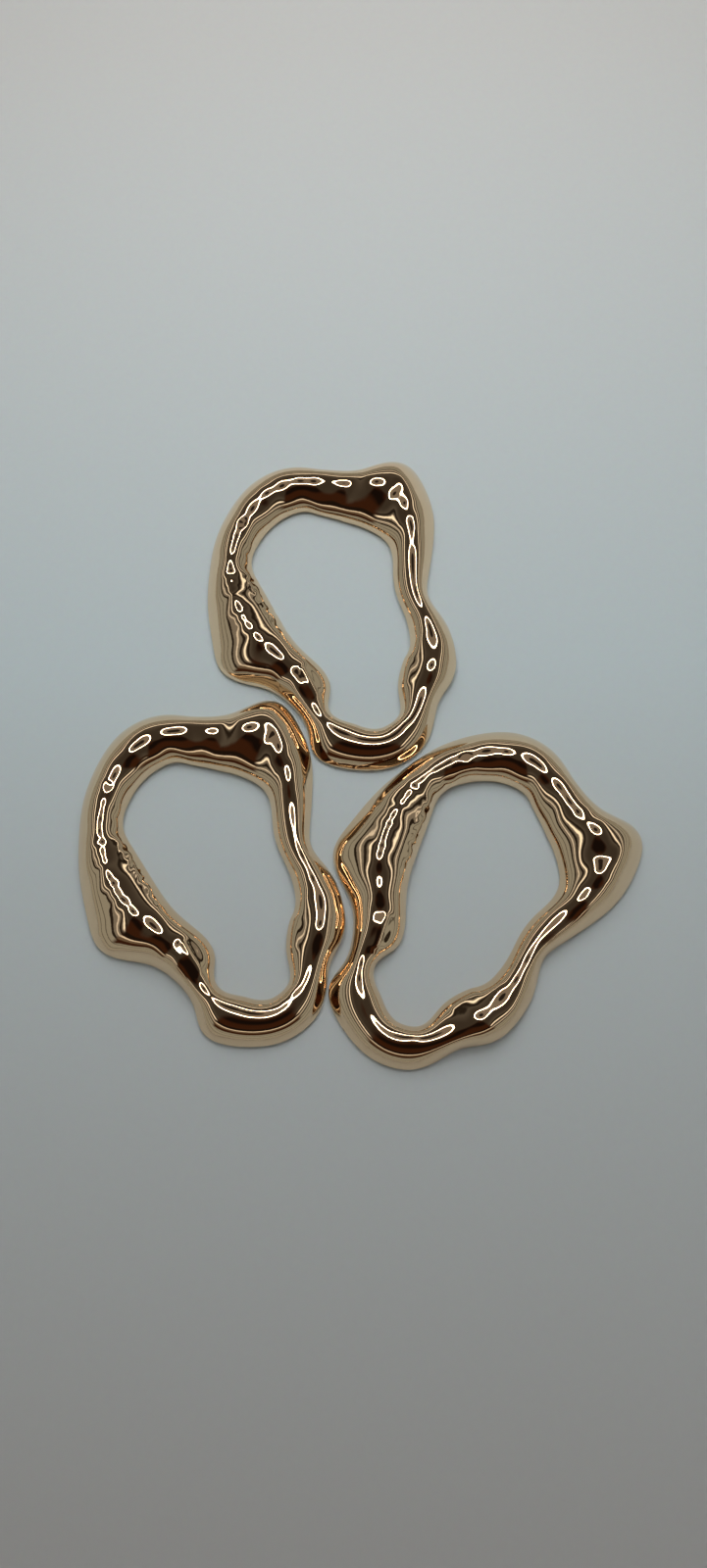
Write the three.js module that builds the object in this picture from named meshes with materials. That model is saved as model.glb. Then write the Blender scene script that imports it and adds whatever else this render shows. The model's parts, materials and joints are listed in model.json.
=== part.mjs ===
// A set of three loose decorative rings, each one solid casting with a flat
// back and a smooth, lumpy, domed front. All three come out of the same
// mould, so one casting is modelled once and laid down three times.
//
// Millimetres, +Z up, underside on z = 0. In the casting's own frame +Y points
// to the broad end and the origin sits inside the opening.

import * as THREE from 'three';

// ---- driving dimensions -------------------------------------------------

const EDGE_HEIGHT = 0.7; // height of the rounded lower rim
const FULLNESS = 2.4; // 2 gives a parabolic front, more a flatter crest and steeper flanks
const INNER_BULGE = 0.65; // below 1 the inner flank bulges and drops steeply at its foot
const EDGE_INSET = 0.5; // how far the flat back stops short of the outline
const RIBS_AROUND = 112; // rows of vertices round the ring
const STEPS_OVER = 12; // facets from the outer rim, over the crest, to the inner
const STEPS_RIM = 2; // facets down each rounded lower rim
const STEPS_BACK = 2; // facets across the flat back

// Sections of the casting, counter-clockwise from the broad end:
// outer edge x, y,  inner edge x, y,  crest x, y,  crest height.
const SECTIONS = [
  // broad end, sloping shoulder on the left
  [0, 41.5, -0.5, 29, 0, 36, 5.3],
  [-6, 41, -4.5, 28.5, -5.5, 35, 5.3],
  [-11, 38.5, -8, 27, -9.5, 33, 5.2],
  [-15.5, 35, -11, 25, -13.5, 30, 5],
  [-19.5, 31, -13.5, 22.5, -16.5, 27, 4.9],
  // left side, swelling downwards
  [-22.5, 26.5, -14.5, 20.5, -18.5, 23.5, 4.7],
  [-25, 21.5, -15, 18.5, -20, 20, 4.9],
  [-27.5, 16, -14.5, 15, -21.5, 15.5, 5.4],
  [-29, 10.5, -14, 10.5, -22, 10.5, 5.9],
  [-30, 5, -13.5, 6, -21, 5.5, 6.1],
  [-31, 0, -13, 1.5, -20, 1, 6.3],
  [-30, -4, -12, -2.5, -18.5, -3, 6.3],
  [-26, -7.5, -10.5, -6, -17, -6.5, 5.9],
  // waist under the swelling
  [-22, -10, -9, -9, -15.5, -9.5, 5.4],
  [-19.5, -13.5, -8, -12, -14.5, -13, 5.1],
  [-18, -17, -8, -15.5, -14, -16.5, 4.7],
  [-17, -20.5, -10.5, -18.5, -14, -19.5, 4.1],
  [-17, -24, -11, -21.5, -13.5, -22.5, 4],
  [-18.5, -28.5, -9.5, -24, -12.5, -25.5, 4.7],
  // narrow end
  [-16, -32.5, -7, -26, -10.5, -28.5, 5],
  [-10.5, -36, -5, -27.5, -7.5, -31, 4.7],
  [-4.5, -38.5, -2, -29, -3, -33, 4.7],
  [1.5, -38.5, 1, -29, 1, -33, 4.6],
  [7, -36.5, 4, -27.5, 5, -31, 4.6],
  [10.5, -32, 5, -24.5, 8, -28.5, 4.6],
  // knuckle on the lower right
  [13, -27.5, 5.5, -21.5, 10.5, -25.5, 4.6],
  [17, -25.5, 7, -18.5, 13, -22.5, 5.2],
  [20.5, -22, 9, -16, 15.5, -19.5, 5.4],
  [22, -16.5, 11.5, -14, 17.5, -15.5, 5],
  [22.5, -11.5, 13, -11.5, 18, -11.5, 4.6],
  // thin waist on the right
  [21.5, -7, 14, -7.5, 18, -7, 4.2],
  [20.5, -2.5, 14, -3, 18, -2.5, 4],
  [22.5, 1, 14, 0.5, 19, 1, 4.4],
  [25, 5, 15, 5, 20.5, 5, 4.7],
  [27.5, 9.5, 17, 9, 22, 9, 4.9],
  // big knob on the upper right
  [30, 14.5, 17.5, 13, 23.5, 13.5, 5.3],
  [31, 20, 16, 16, 24.5, 18, 5.9],
  [31, 25.5, 14, 18.5, 23.5, 22.5, 6.4],
  [30, 31, 12, 20.5, 22, 26.5, 6.9],
  [25.5, 33.5, 10, 22, 18.5, 28.5, 6.6],
  [19.5, 32.5, 8.5, 23.5, 15, 29, 5.6],
  // back up to the broad end
  [14.5, 34, 6.5, 25, 12, 31, 5.2],
  [10, 36.5, 4.5, 26.5, 8, 33, 5.1],
  [5.5, 40, 2.5, 28.5, 4, 35, 5.2],
];

// Soft lumps (+) and hollows (-) in the cast face: x, y, radius, height.
const LUMPS = [
  [-6.5, -25, 3, 0.6], // nub on the inner edge of the narrow end
  [-25, -1, 5, 0.6], // dome on the outside of the swelling
  // the chain of lumps along the crest, clockwise from the sloping shoulder
  [-13, 28.5, 2.8, 0.6],
  [-5.3, 33.8, 2.8, 0.65],
  [3, 33.5, 3, 0.65],
  [11, 29.3, 3, 0.6],
  [19, 25.5, 2.8, 0.7],
  [22.5, 22, 2.2, -0.35],
  [23.5, 18.3, 2.6, 0.7],
  [22.8, 11.2, 2.6, 0.6],
  [17.3, -10, 3.2, 0.5],
  [14.2, -21, 3.2, 0.65],
  [-12.5, -24, 3, 0.4],
  [-15, -13, 2.4, 0.5],
  [-17, -7, 2.4, 0.6],
  [-20.3, 0.3, 2.5, 0.5],
  [-21.4, 10.8, 2.4, 0.5],
  [-19.4, 20.5, 2.4, 0.5],
];

// Where each casting lies on the table: x, y, turn about +Z in degrees.
const LAYOUT = [
  ['upper_ring', -4.6, 31.3, 22],
  ['left_ring', -30.5, -30.2, 27.2],
  ['right_ring', 22.5, -36, -26.7],
];

const CAST_METAL = new THREE.MeshStandardMaterial({
  name: 'champagne_gold_plate',
  color: 0xe8cfa8,
  metalness: 1,
  roughness: 0.08,
});

// ---- one casting ----------------------------------------------------------

// Closed uniform cubic B-spline through the neighbourhood of the sections;
// t runs from 0 to 1 once round the ring.
function sectionAt(t) {
  const n = SECTIONS.length;
  const s = t * n;
  const i = Math.floor(s);
  const f = s - i;
  const weights = [
    (1 - f) ** 3 / 6,
    (3 * f ** 3 - 6 * f ** 2 + 4) / 6,
    (-3 * f ** 3 + 3 * f ** 2 + 3 * f + 1) / 6,
    f ** 3 / 6,
  ];
  return SECTIONS[0].map((_, column) =>
    weights.reduce((sum, w, k) => sum + w * SECTIONS[(i + k - 1 + n) % n][column], 0),
  );
}

// One closed section as a loop of points: over the front, round the inner
// rim, back across the flat underside and round the outer rim.
function sectionLoop(t) {
  const [ox, oy, ix, iy, cx, cy, crest] = sectionAt(t);
  const outer = new THREE.Vector2(ox, oy);
  const inner = new THREE.Vector2(ix, iy);
  const ridge = new THREE.Vector2(cx, cy);
  const half = inner.clone().sub(outer).multiplyScalar(0.5);
  const rise = crest - EDGE_HEIGHT;
  const skew = inner.clone().add(outer).multiplyScalar(0.5).sub(ridge);
  const inwards = half.clone().normalize();
  const loop = [];

  for (let k = 0; k <= STEPS_OVER; k++) {
    const a = (Math.PI * k) / STEPS_OVER;
    const s = -Math.cos(a);
    const p = ridge.clone().addScaledVector(half, s).addScaledVector(skew, s * s);
    const front = (1 - Math.abs(s) ** FULLNESS) ** (s > 0 ? INNER_BULGE : 1);
    loop.push(new THREE.Vector3(p.x, p.y, EDGE_HEIGHT + rise * front));
  }
  const rim = (edge, direction, a) => {
    const inset = EDGE_INSET * (1 - Math.cos(a)) * direction;
    const z = EDGE_HEIGHT * (1 - Math.sin(a));
    return new THREE.Vector3(edge.x - inwards.x * inset, edge.y - inwards.y * inset, z);
  };
  for (let k = 1; k <= STEPS_RIM; k++) loop.push(rim(inner, 1, (Math.PI / 2) * (k / STEPS_RIM)));
  const from = loop[loop.length - 1];
  const to = rim(outer, -1, Math.PI / 2);
  for (let k = 1; k < STEPS_BACK; k++) loop.push(from.clone().lerp(to, k / STEPS_BACK));
  for (let k = STEPS_RIM; k >= 1; k--) loop.push(rim(outer, -1, (Math.PI / 2) * (k / STEPS_RIM)));

  // Lumps push the front away from the heart of the section.
  const heart = new THREE.Vector3(ridge.x, ridge.y, crest * 0.3);
  for (let k = 0; k <= STEPS_OVER; k++) {
    const p = loop[k];
    const push = LUMPS.reduce((sum, [x, y, r, h]) => {
      const d2 = (p.x - x) ** 2 + (p.y - y) ** 2;
      return sum + h * Math.exp(-d2 / (r * r));
    }, 0);
    p.addScaledVector(p.clone().sub(heart).normalize(), push);
  }
  return loop;
}

function castingGeometry() {
  const rows = Array.from({ length: RIBS_AROUND }, (_, i) => sectionLoop(i / RIBS_AROUND));
  const across = rows[0].length;
  const positions = rows.flat().flatMap((p) => [p.x, p.y, p.z]);
  const indices = [];
  for (let i = 0; i < RIBS_AROUND; i++) {
    for (let k = 0; k < across; k++) {
      const a = i * across + k;
      const b = i * across + ((k + 1) % across);
      const c = ((i + 1) % RIBS_AROUND) * across + k;
      const d = ((i + 1) % RIBS_AROUND) * across + ((k + 1) % across);
      indices.push(a, c, b, b, c, d);
    }
  }
  const geometry = new THREE.BufferGeometry();
  geometry.setAttribute('position', new THREE.Float32BufferAttribute(positions, 3));
  geometry.setIndex(indices);
  geometry.computeVertexNormals();
  return geometry;
}

// ---- the set ----------------------------------------------------------------

const set = new THREE.Group();
set.name = 'liquid_metal_rings';
const casting = castingGeometry();
for (const [name, x, y, turn] of LAYOUT) {
  const ring = new THREE.Mesh(casting.clone(), CAST_METAL);
  ring.name = name;
  ring.position.set(x, y, 0);
  ring.rotation.z = THREE.MathUtils.degToRad(turn);
  set.add(ring);
}

export default set;
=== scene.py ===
"""Three loose cast rings, mirror-polished in champagne gold, lying on a pale sheet."""

import json
import math

import bmesh
import bpy
import numpy as np
from mathutils import Matrix, Vector, noise


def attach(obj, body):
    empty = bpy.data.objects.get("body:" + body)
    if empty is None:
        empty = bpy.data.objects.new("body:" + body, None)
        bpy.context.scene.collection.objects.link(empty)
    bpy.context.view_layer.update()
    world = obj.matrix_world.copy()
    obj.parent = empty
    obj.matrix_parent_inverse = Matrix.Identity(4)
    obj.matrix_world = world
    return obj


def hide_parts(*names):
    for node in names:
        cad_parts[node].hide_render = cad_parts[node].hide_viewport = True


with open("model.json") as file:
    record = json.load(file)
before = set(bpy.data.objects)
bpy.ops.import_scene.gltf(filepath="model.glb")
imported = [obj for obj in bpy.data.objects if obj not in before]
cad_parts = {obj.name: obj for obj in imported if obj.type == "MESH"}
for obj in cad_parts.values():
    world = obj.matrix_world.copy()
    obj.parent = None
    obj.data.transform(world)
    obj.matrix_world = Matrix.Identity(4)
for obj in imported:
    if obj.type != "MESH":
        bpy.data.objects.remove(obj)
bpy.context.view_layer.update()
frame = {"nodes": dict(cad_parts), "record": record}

MM = 0.001

# ---- driving dimensions, mm and degrees -----------------------------------

# How each casting lies on the table, as in the CAD: x, y, turn about +Z.
LAYOUT = {
    "upper_ring": (-4.6, 31.3, 22.0),
    "left_ring": (-30.5, -30.2, 27.2),
    "right_ring": (22.5, -36.0, -26.7),
}
SMOOTHING_LEVELS = 2  # rounds of subdivision of the CAD mesh

# Small relief of the cast front that the CAD leaves out, in the casting's own
# frame. Each is a bead (+) or a dimple (-) drawn out along a line: x, y at its
# start, x, y at its end, radius, height.
BEADS = [
    (-21.6, 9.0, -18.4, -4.0, 3.4, 0.34),  # backbone of the swelling
    (24.2, 14.5, 23.6, 20.0, 3.4, 0.28),  # backbones of the big knob
    (21.0, 25.4, 18.5, 28.0, 3.4, 0.30),
    (9.5, 31.0, 14.5, 28.6, 3.6, 0.34),  # slope between the broad end and the knob
    (26.8, 19.0, 26.0, 25.0, 1.7, 0.20),  # fold outside the knob's crest
    (-19.2, 22.2, -19.8, 19.4, 1.8, 0.16),  # chain down the left side
    (-20.2, 18.2, -20.2, 18.2, 1.3, -0.14),
    (-20.7, 16.2, -21.0, 14.4, 1.6, 0.32),
    (-21.5, 11.4, -21.6, 9.8, 1.6, 0.22),
    (-21.6, 6.0, -21.4, 4.4, 1.8, 0.42),
    (-20.4, 0.6, -20.0, -0.4, 1.8, 0.20),
    (-16.3, 25.0, -16.9, 24.2, 1.8, 0.22),
    (-13.2, 29.0, -13.2, 29.0, 1.1, -0.24),  # dimple on the shoulder
    (-13.2, 23.4, -13.6, 22.8, 0.9, 0.16),  # pimples down the inner slope
    (-14.9, 21.0, -15.2, 20.2, 0.9, 0.18),
    (-16.2, 17.2, -16.2, 16.2, 0.9, 0.20),
    (-15.7, 13.0, -15.5, 12.0, 1.0, 0.22),
    (-15.0, 8.8, -14.9, 8.0, 0.9, 0.18),
    (-14.6, 4.8, -14.4, 4.0, 0.9, 0.18),
    (-13.0, -10.6, -12.4, -17.0, 1.0, 0.30),  # ledge along the inner side of the waist
    (9.9, -16.2, 7.6, -21.0, 1.3, 0.26),  # folds inside the knuckle
    (14.0, -13.2, 11.4, -15.6, 1.5, 0.18),
    (0.5, -29.8, 2.5, -29.8, 1.6, 0.20),  # inner edge of the narrow end
    (17.6, -25.2, 20.6, -22.4, 2.2, 0.24),  # folds outside the knuckle
    (21.2, -19.5, 21.8, -16.0, 2.1, 0.20),
    (-28.8, -3.5, -29.0, 0.0, 2.4, 0.22),  # fold outside the swelling
]
RIPPLE_SIZE = 5.0  # slow unevenness of the whole cast front
RIPPLE_HEIGHT = 0.045
WRINKLES_FROM = (-16.0, 17.0)  # wrinkled strip on the inner slope of the swelling
WRINKLES_TO = (-12.6, -1.5)
WRINKLES_HALF_WIDTH = 1.7
WRINKLES_EDGE = (0.6, 1.4)  # of the half-width; the strip fades out in between
WRINKLES_FADE = 2.0  # over this length on either side of each end
WRINKLE_SIZE = 1.9
WRINKLE_HEIGHT = 0.11
RELIEF_FOOT = (0.8, 1.6)  # above the sheet; the relief fades in between these heights

SHEET_HALF_SIDE = 1500.0
SHEET_GAP = 0.05  # the sheet lies this much below the flat backs
SHEET_SHADE_NEAR, SHEET_SHADE_FAR = -160.0, 200.0  # where the sheet's tone and its painted shade, darker towards the near side, start and stop changing

# The camera stands over the near edge of the set and leans a little towards it.
CAMERA_PLACE = (5.8, -74.1, 252.0)
CAMERA_LEAN = 14.53
CAMERA_ROLL = 1.56
CAMERA_SENSOR = 36.0
CAMERA_LENS = 26.55
CAMERA_CLIP = 10.0

# The softbox lights the sheet and isn't mirrored by the metal.
SOFTBOX_PLACE = (0.0, 200.0, 260.0)
SOFTBOX_AIM = (0.0, 80.0, 0.0)
SOFTBOX_SIZE = (300.0, 200.0)
SOFTBOX_WATTS = 0.42
SOFTBOX_COLOUR = (1.0, 0.99, 0.96)

# ---- the room that the metal mirrors ----------------------------------------

# A bright ring of light hangs a little beyond the set, with a dark lens in its middle.
LAMP_LEAN = 20.0  # from straight up
LAMP_HALF_ANGLE = 17.5
LAMP_WIDTH = 2.0
LAMP_CORE = 6.0
LAMP_RING = (9.0, 8.7, 8.1)
LAMP_GLASS = (0.20, 0.18, 0.16)
LAMP_LENS = (0.02, 0.016, 0.014)
LAMP_RING_SOFTNESS = 0.3
LAMP_LENS_SOFTNESS = 0.5

# A box-shaped room. A direction meets it this far out over this high, so a row
# says: colour, from, to, softness of the ends.
SIDE_NEARNESS, END_NEARNESS = 0.72, 0.40  # the ends along Y are further off than the sides
CORNER_ROUNDING = 0.1
LOWEST_HEIGHT = 0.02  # directions at and below the horizon count as this high
CEILING = (0.043, 0.037, 0.031)
CEILING_RIM = (0.20, 0.195, 0.18)
CEILING_FADE = (0.30, 0.90)
GROOVE = (0.02, 0.016, 0.012)
CEILING_BANDS = [
    (GROOVE, 0.52, 0.60, 0.02),
    ((1.3, 1.27, 1.16), 0.64, 0.71, 0.02),  # two strips of light between dark grooves
    (GROOVE, 0.78, 0.88, 0.02),
    ((0.75, 0.73, 0.67), 0.98, 1.05, 0.02),
    (GROOVE, 1.22, 1.40, 0.02),
]
WALL = (0.28, 0.295, 0.275)
WALL_TOP = (1.40, 1.43)
WALL_LINE = (0.10, 0.10, 0.09)
WALL_BANDS = [
    (WALL_LINE, 2.0, 2.2, 0.05),
    (WALL_LINE, 4.4, 5.4, 0.2),
]

# Something dark with a pale edge stands over the near side. From and to are
# degrees from straight up.
NEAR_SIDE_BANDS = [
    ((0.037, 0.014, 0.0065), 4.0, 76.0, 1.5),
    ((0.008, 0.005, 0.004), 10.0, 30.0, 6.0),
    ((0.012, 0.008, 0.006), 52.0, 60.0, 2.0),
    ((0.80, 0.76, 0.68), 61.0, 64.0, 0.7),
    ((0.14, 0.11, 0.08), 64.0, 69.0, 1.0),
]
NEAR_SIDE_FADE = 0.10

PLAIN_ROOM = (0.44, 0.45, 0.45)  # what is seen directly past the edge of the sheet


# ---- materials ------------------------------------------------------------

def new_material(name):
    """A material with its nodes, its links and its shader."""
    mat = bpy.data.materials.new(name)
    mat.use_nodes = True
    nodes = mat.node_tree.nodes
    return mat, nodes, mat.node_tree.links, nodes["Principled BSDF"]


def noise_node(nodes, scale, detail):
    node = nodes.new("ShaderNodeTexNoise")
    node.inputs["Scale"].default_value = scale
    node.inputs["Detail"].default_value = detail
    return node


def colour_mix(nodes, blend="MIX"):
    node = nodes.new("ShaderNodeMix")
    node.data_type = "RGBA"
    node.blend_type = blend
    return node


def gold_material():
    """Champagne gold plate: mirror polish with faint clouding and casting grain."""
    mat, nodes, links, shader = new_material("champagne_gold_plate")
    shader.inputs["Metallic"].default_value = 1.0
    coords = nodes.new("ShaderNodeTexCoord")

    clouds = noise_node(nodes, 90.0, 3.0)
    links.new(coords.outputs["Object"], clouds.inputs["Vector"])
    tint = colour_mix(nodes)
    tint.inputs["A"].default_value = (0.875, 0.65, 0.425, 1.0)
    tint.inputs["B"].default_value = (0.94, 0.71, 0.48, 1.0)
    links.new(clouds.outputs["Fac"], tint.inputs["Factor"])
    links.new(tint.outputs["Result"], shader.inputs["Base Color"])

    haze = nodes.new("ShaderNodeMapRange")
    haze.inputs["From Min"].default_value = 0.35
    haze.inputs["From Max"].default_value = 0.75
    haze.inputs["To Min"].default_value = 0.012
    haze.inputs["To Max"].default_value = 0.04
    links.new(clouds.outputs["Fac"], haze.inputs["Value"])
    links.new(haze.outputs["Result"], shader.inputs["Roughness"])

    grain = noise_node(nodes, 900.0, 4.0)
    links.new(coords.outputs["Object"], grain.inputs["Vector"])
    bump = nodes.new("ShaderNodeBump")
    bump.inputs["Strength"].default_value = 0.02
    bump.inputs["Distance"].default_value = 0.2 * MM
    links.new(grain.outputs["Fac"], bump.inputs["Height"])
    links.new(bump.outputs["Normal"], shader.inputs["Normal"])
    return mat


def sheet_material():
    """The matt pale sheet, a little blue in the middle, with painted shade that makes it greyer and
    darker towards the near side.
    """
    mat, nodes, links, shader = new_material("pale_sheet_with_painted_shade")
    shader.inputs["Roughness"].default_value = 0.75
    shader.inputs["Specular IOR Level"].default_value = 0.15
    coords = nodes.new("ShaderNodeTexCoord")
    split = nodes.new("ShaderNodeSeparateXYZ")
    links.new(coords.outputs["Object"], split.inputs["Vector"])

    across = nodes.new("ShaderNodeMapRange")
    across.inputs["From Min"].default_value = SHEET_SHADE_NEAR * MM
    across.inputs["From Max"].default_value = SHEET_SHADE_FAR * MM
    links.new(split.outputs["Y"], across.inputs["Value"])
    # Painted shade: the ramp darkens the sheet from the far side to the near side, where less light
    # falls; the bluish middle is the sheet's tone.
    tone_and_painted_shade = nodes.new("ShaderNodeValToRGB")
    near, far = tone_and_painted_shade.color_ramp.elements
    near.color = (0.53, 0.545, 0.565, 1.0)
    far.color = (0.70, 0.72, 0.735, 1.0)
    middle = tone_and_painted_shade.color_ramp.elements.new(0.5)
    middle.color = (0.65, 0.765, 0.83, 1.0)
    links.new(across.outputs["Result"], tone_and_painted_shade.inputs["Fac"])

    fibre = noise_node(nodes, 700.0, 6.0)
    links.new(coords.outputs["Object"], fibre.inputs["Vector"])
    tone = colour_mix(nodes, "MULTIPLY")
    tone.inputs["Factor"].default_value = 0.06
    links.new(tone_and_painted_shade.outputs["Color"], tone.inputs["A"])
    links.new(fibre.outputs["Color"], tone.inputs["B"])
    links.new(tone.outputs["Result"], shader.inputs["Base Color"])
    return mat


# ---- the castings -----------------------------------------------------------

def welded(node):
    """The CAD node's vertices and triangles, with doubled vertices joined."""
    bm = bmesh.new()
    bm.from_mesh(node.data)
    bmesh.ops.remove_doubles(bm, verts=bm.verts, dist=1e-6)
    bmesh.ops.triangulate(bm, faces=bm.faces)
    bm.verts.index_update()
    points = np.array([v.co[:] for v in bm.verts])
    triangles = np.array([[v.index for v in f.verts] for f in bm.faces])
    bm.free()
    return points, triangles


def loop_subdivided(points, triangles):
    """One round of Loop subdivision of a closed triangle mesh."""
    corners = len(triangles)
    sides = np.concatenate([triangles[:, [0, 1]], triangles[:, [1, 2]], triangles[:, [2, 0]]])
    opposite = np.concatenate([triangles[:, 2], triangles[:, 0], triangles[:, 1]])
    ends, which = np.unique(np.sort(sides, axis=1), axis=0, return_inverse=True)
    which = which.reshape(-1)
    across = np.zeros((len(ends), 3))
    np.add.at(across, which, points[opposite])
    middles = 3 / 8 * (points[ends[:, 0]] + points[ends[:, 1]]) + across / 8

    valence = np.zeros(len(points))
    around = np.zeros_like(points)
    for a, b in ((0, 1), (1, 0)):
        np.add.at(valence, ends[:, a], 1)
        np.add.at(around, ends[:, a], points[ends[:, b]])
    pull = np.where(valence > 3, 3 / (8 * valence), 3 / 16)
    moved = (1 - valence * pull)[:, None] * points + pull[:, None] * around

    first = len(points) + which[:corners]
    second = len(points) + which[corners:2 * corners]
    third = len(points) + which[2 * corners:]
    a, b, c = triangles.T
    parts = ((a, first, third), (first, b, second), (third, second, c), (first, second, third))
    finer = np.concatenate([np.stack(part, axis=1) for part in parts])
    return np.concatenate([moved, middles]), finer


def outward(points, triangles):
    """Unit normals of a mesh at its vertices."""
    a, b, c = (points[triangles[:, i]] for i in range(3))
    facets = np.cross(b - a, c - a)
    normals = np.zeros_like(points)
    for i in range(3):
        np.add.at(normals, triangles[:, i], facets)
    return normals / np.linalg.norm(normals, axis=1, keepdims=True)


def fading(value, low, high):
    """0 below low, 1 above high and a smooth step between."""
    f = np.clip((value - low) / (high - low), 0, 1)
    return f * f * (3 - 2 * f)


def noise_at(places, size):
    """Smooth noise from about -1 to 1 at places in mm, with features of this size."""
    return np.array([noise.noise(Vector(p) / size) for p in places])


def beads(flat):
    """Height of the beads and dimples at places in the casting's own frame."""
    height = np.zeros(len(flat))
    for x0, y0, x1, y1, radius, rise in BEADS:
        start, step = np.array((x0, y0)), np.array((x1 - x0, y1 - y0))
        along = np.clip((flat - start) @ step / max(step @ step, 1e-9), 0, 1)
        away = np.linalg.norm(flat - start - along[:, None] * step, axis=1)
        height += rise * np.exp(-((away / radius) ** 2))
    return height


def wrinkles(flat, places):
    """Height of the wrinkled strip on the inner slope of the swelling."""
    start, end = np.array(WRINKLES_FROM), np.array(WRINKLES_TO)
    length = np.linalg.norm(end - start)
    run = (end - start) / length
    along = (flat - start) @ run
    aside = np.abs((flat - start) @ np.array([-run[1], run[0]]))
    strip = fading(along, -WRINKLES_FADE, WRINKLES_FADE)
    strip *= 1 - fading(along, length - WRINKLES_FADE, length + WRINKLES_FADE)
    strip *= 1 - fading(aside / WRINKLES_HALF_WIDTH, *WRINKLES_EDGE)
    inside = strip > 0
    crumple = np.zeros(len(places))
    crumple[inside] = 1 - 2 * np.abs(noise_at(places[inside], WRINKLE_SIZE))
    return WRINKLE_HEIGHT * strip * crumple


def relief(points, name):
    """Height in mm of the small relief at points, which are in metres."""
    x, y, turn = LAYOUT[name]
    angle = math.radians(-turn)
    spin = np.array([[math.cos(angle), -math.sin(angle)], [math.sin(angle), math.cos(angle)]])
    flat = (points[:, :2] / MM - (x, y)) @ spin.T
    z = points[:, 2] / MM
    places = np.column_stack([flat, z])
    height = RIPPLE_HEIGHT * noise_at(places, RIPPLE_SIZE) + beads(flat) + wrinkles(flat, places)
    return height * fading(z, *RELIEF_FOOT)


def fine_ring(name, material):
    """The smooth casting that stands for one CAD ring."""
    points, triangles = welded(frame["nodes"][name])
    for _ in range(SMOOTHING_LEVELS):
        points, triangles = loop_subdivided(points, triangles)
    points = points + outward(points, triangles) * (relief(points, name) * MM)[:, None]
    mesh = bpy.data.meshes.new(name + "_casting")
    mesh.from_pydata(points.tolist(), [], triangles.tolist())
    mesh.polygons.foreach_set("use_smooth", [True] * len(mesh.polygons))
    mesh.materials.append(material)
    mesh.update()
    ring = bpy.data.objects.new(name + "_casting", mesh)
    bpy.context.scene.collection.objects.link(ring)
    return ring


# ---- the studio -------------------------------------------------------------

def staged(name, mesh, material):
    """An object of the studio, which is no part of the rings."""
    obj = bpy.data.objects.new(name, mesh)
    bpy.context.scene.collection.objects.link(obj)
    mesh.materials.append(material)
    return obj


def build_sheet():
    half = SHEET_HALF_SIDE * MM
    below = -SHEET_GAP * MM
    corners = [(-half, -half, below), (half, -half, below), (half, half, below), (-half, half, below)]
    mesh = bpy.data.meshes.new("sheet")
    mesh.from_pydata(corners, [], [(0, 1, 2, 3)])
    return staged("sheet", mesh, sheet_material())


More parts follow.
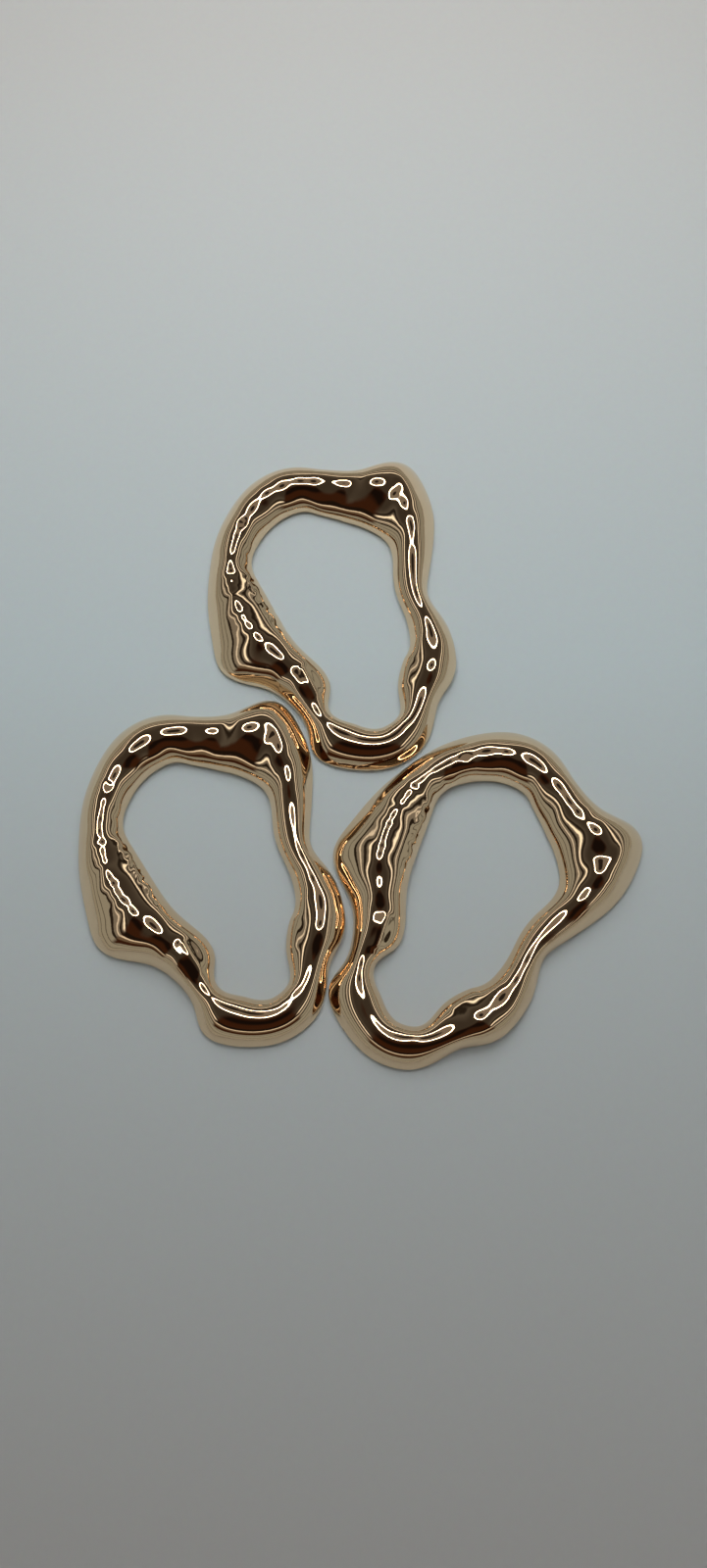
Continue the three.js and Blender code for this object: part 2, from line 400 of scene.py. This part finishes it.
def build_world():
    """The room as the metal sees it, painted by direction."""
    world = bpy.data.worlds.new("room")
    bpy.context.scene.world = world
    world.use_nodes = True
    nodes = world.node_tree.nodes
    links = world.node_tree.links

    def maths(operation, *values):
        node = nodes.new("ShaderNodeMath")
        node.operation = operation
        for socket, value in zip(node.inputs, values):
            if isinstance(value, (int, float)):
                socket.default_value = value
            else:
                links.new(value, socket)
        return node.outputs[0]

    def degrees(cosine):
        return maths("MULTIPLY", maths("ARCCOSINE", cosine), 180 / math.pi)

    def smooth(value, low, high):
        """0 below low, 1 above high."""
        node = nodes.new("ShaderNodeMapRange")
        node.interpolation_type = "SMOOTHSTEP"
        node.inputs["From Min"].default_value = low
        node.inputs["From Max"].default_value = high
        links.new(value, node.inputs["Value"])
        return node.outputs["Result"]

    def below(value, low, high):
        return maths("SUBTRACT", 1.0, smooth(value, low, high))

    def band(value, low, high, soft):
        """1 between low and high, fading over soft at each end."""
        up = smooth(value, low - soft, low + soft)
        down = smooth(value, high - soft, high + soft)
        return maths("SUBTRACT", up, down)

    def layer(under, colour, mask):
        """The colour laid over what is under it, where the mask is 1."""
        node = colour_mix(nodes)
        links.new(mask, node.inputs["Factor"])
        if isinstance(under, tuple):
            node.inputs["A"].default_value = (*under, 1.0)
        else:
            links.new(under, node.inputs["A"])
        node.inputs["B"].default_value = (*colour, 1.0)
        return node.outputs["Result"]

    coords = nodes.new("ShaderNodeTexCoord")
    split = nodes.new("ShaderNodeSeparateXYZ")
    links.new(coords.outputs["Generated"], split.inputs["Vector"])
    x, y, z = split.outputs

    # the ceiling and the walls
    out_x = maths("MULTIPLY", maths("ABSOLUTE", x), SIDE_NEARNESS)
    out_y = maths("MULTIPLY", maths("ABSOLUTE", y), END_NEARNESS)
    reach = maths("SMOOTH_MAX", out_x, out_y, CORNER_ROUNDING)
    room = maths("DIVIDE", reach, maths("MAXIMUM", z, LOWEST_HEIGHT))
    colour = layer(CEILING, CEILING_RIM, smooth(room, *CEILING_FADE))
    for tone, low, high, soft in CEILING_BANDS:
        colour = layer(colour, tone, band(room, low, high, soft))
    colour = layer(colour, WALL, smooth(room, *WALL_TOP))
    for tone, low, high, soft in WALL_BANDS:
        colour = layer(colour, tone, band(room, low, high, soft))

    # the near side
    polar = degrees(z)
    nearness = maths("SUBTRACT", maths("MULTIPLY", y, -1.0), maths("ABSOLUTE", x))
    near = smooth(nearness, -NEAR_SIDE_FADE, NEAR_SIDE_FADE)
    for tone, low, high, soft in NEAR_SIDE_BANDS:
        colour = layer(colour, tone, maths("MULTIPLY", near, band(polar, low, high, soft)))

    # the lamp
    lean = math.radians(LAMP_LEAN)
    towards = nodes.new("ShaderNodeVectorMath")
    towards.operation = "DOT_PRODUCT"
    links.new(coords.outputs["Generated"], towards.inputs[0])
    towards.inputs[1].default_value = (0.0, math.sin(lean), math.cos(lean))
    lamp = degrees(towards.outputs["Value"])
    inner = LAMP_HALF_ANGLE - LAMP_WIDTH / 2
    outer = LAMP_HALF_ANGLE + LAMP_WIDTH / 2
    colour = layer(colour, LAMP_GLASS, below(lamp, LAMP_HALF_ANGLE - 1, LAMP_HALF_ANGLE))
    colour = layer(colour, LAMP_RING, band(lamp, inner, outer, LAMP_RING_SOFTNESS))
    lens = below(lamp, LAMP_CORE - LAMP_LENS_SOFTNESS, LAMP_CORE + LAMP_LENS_SOFTNESS)
    colour = layer(colour, LAMP_LENS, lens)

    sight = nodes.new("ShaderNodeLightPath")
    colour = layer(colour, PLAIN_ROOM, sight.outputs["Is Camera Ray"])
    links.new(colour, nodes["Background"].inputs["Color"])


def build_softbox():
    light = bpy.data.lights.new("softbox", "AREA")
    light.shape = "RECTANGLE"
    light.size, light.size_y = (side * MM for side in SOFTBOX_SIZE)
    light.energy = SOFTBOX_WATTS
    light.color = SOFTBOX_COLOUR
    lamp = bpy.data.objects.new("softbox", light)
    lamp.location = Vector(SOFTBOX_PLACE) * MM
    aim = Vector(SOFTBOX_AIM) * MM - lamp.location
    lamp.rotation_euler = aim.to_track_quat("-Z", "Y").to_euler()
    lamp.visible_glossy = False
    bpy.context.scene.collection.objects.link(lamp)


def build_camera():
    data = bpy.data.cameras.new("camera")
    data.sensor_fit = "VERTICAL"
    data.sensor_height = CAMERA_SENSOR
    data.lens = CAMERA_LENS
    data.clip_start = CAMERA_CLIP * MM
    camera = bpy.data.objects.new("camera", data)
    lean = Matrix.Rotation(math.radians(CAMERA_LEAN), 4, "X")
    roll = Matrix.Rotation(math.radians(CAMERA_ROLL), 4, "Y")
    camera.matrix_world = Matrix.Translation(Vector(CAMERA_PLACE) * MM) @ lean @ roll
    bpy.context.scene.collection.objects.link(camera)
    bpy.context.scene.camera = camera


build_camera()
build_sheet()
build_world()
build_softbox()
bpy.context.scene.view_settings.view_transform = "Standard"

gold = gold_material()
bodies = frame["record"]["behaviour"]["bodies"]
body_of_node = {node: body for body, nodes in bodies.items() for node in nodes}
for node_name in LAYOUT:
    ring = fine_ring(node_name, gold)
    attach(ring, body_of_node[node_name])
    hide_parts(node_name)
